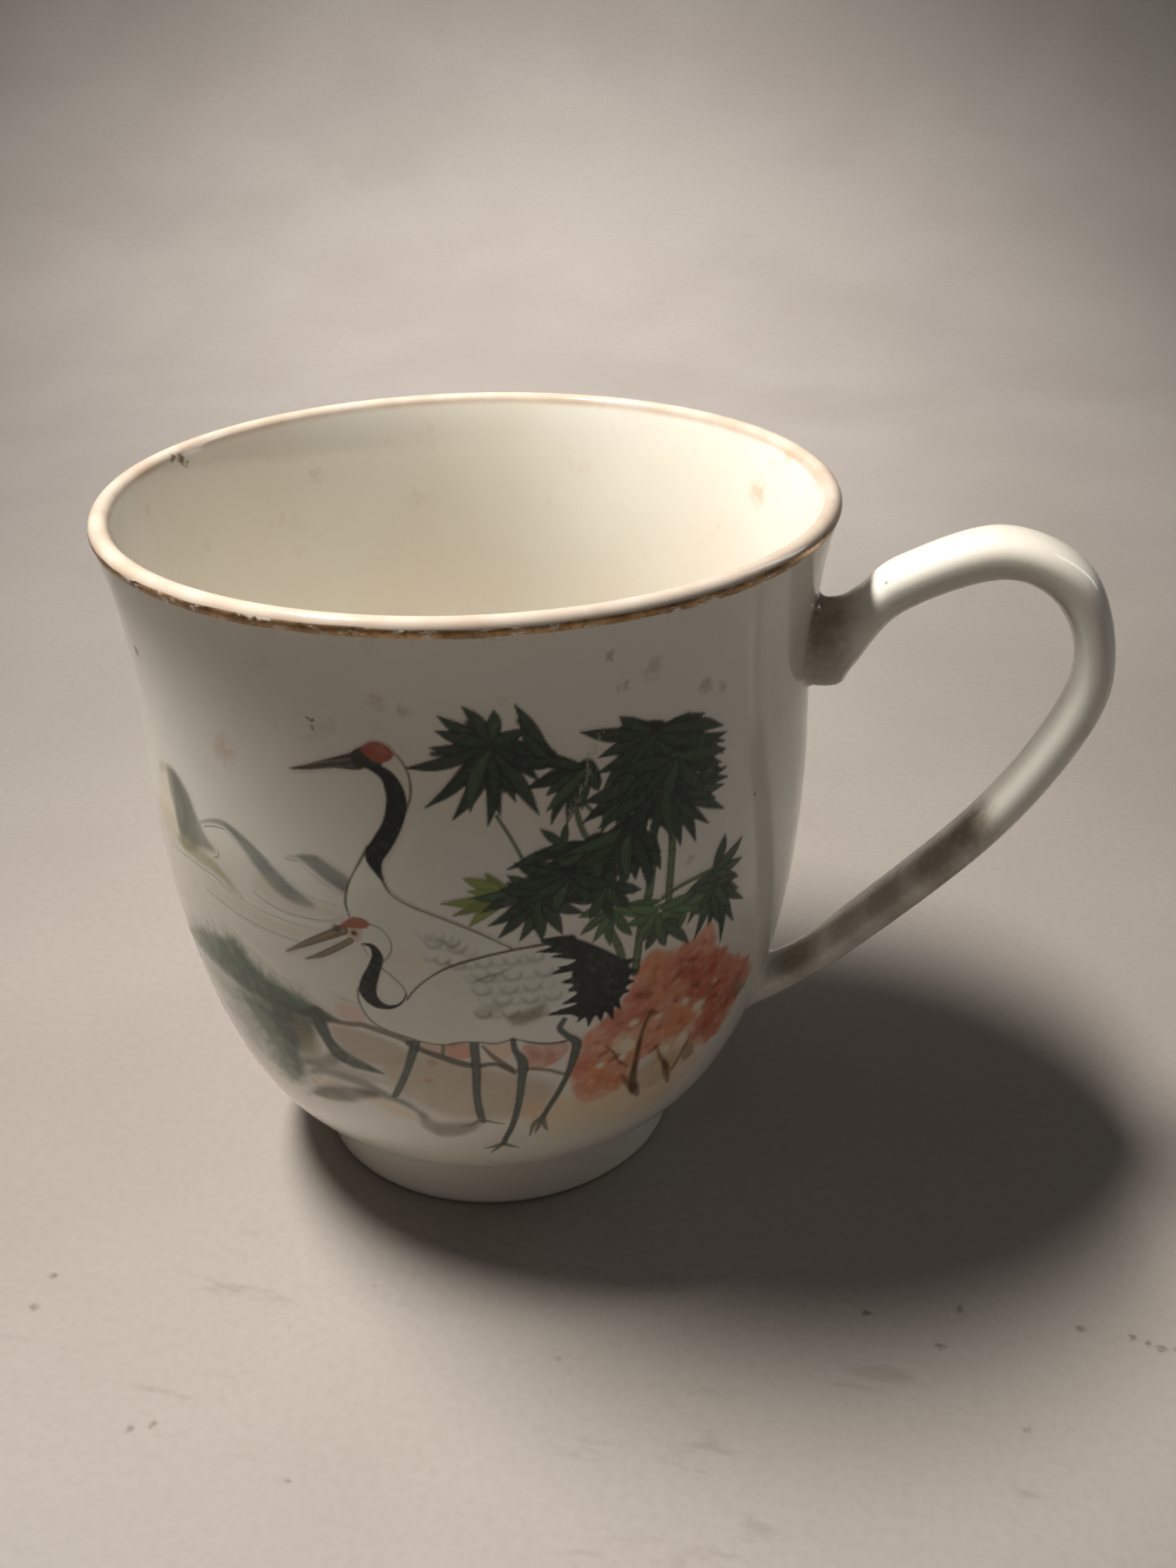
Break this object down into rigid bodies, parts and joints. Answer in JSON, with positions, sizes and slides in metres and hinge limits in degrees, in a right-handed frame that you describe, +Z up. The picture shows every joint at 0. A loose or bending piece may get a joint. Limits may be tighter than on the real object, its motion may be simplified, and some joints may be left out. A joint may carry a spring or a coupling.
{
  "type": "teacup",
  "caption": "Straight porcelain teacup with a flared gilt-lined lip, an ear-shaped handle, a low foot ring and a fired picture of cranes, bamboo and azalea on the front.",
  "frame": {"origin": "on the standing plane, under the middle of the bounding box, which includes the handle; the cup's own axis is 15.5 mm towards -X", "axes": "+Z up along the cup's axis, +X towards the handle, the picture faces -Y"},
  "size_m": [0.1174, 0.0862, 0.0885],
  "materials": {
    "white_glaze": "clear gloss glaze over cream-white porcelain",
    "gilding": "worn fired liquid gold",
    "crane_enamel": "black, grey and red on-glaze enamel",
    "bamboo_enamel": "dark green on-glaze enamel",
    "azalea_enamel": "coral-red on-glaze enamel",
    "hill_enamel": "pale grey-blue on-glaze enamel wash",
    "pine_enamel": "grey-green on-glaze enamel wash"
  },
  "bodies": {
    "root": {"cup_body": "white_glaze", "foot_ring": "white_glaze", "handle": "white_glaze", "upper_handle_slip": "white_glaze", "lower_handle_slip": "white_glaze", "gilt_rim_line": "gilding", "print_rear_crane": "crane_enamel", "print_front_crane": "crane_enamel", "print_bamboo": "bamboo_enamel", "print_azalea": "azalea_enamel", "print_hills": "hill_enamel", "print_pine_bank": "pine_enamel"}
  },
  "joints": []
}
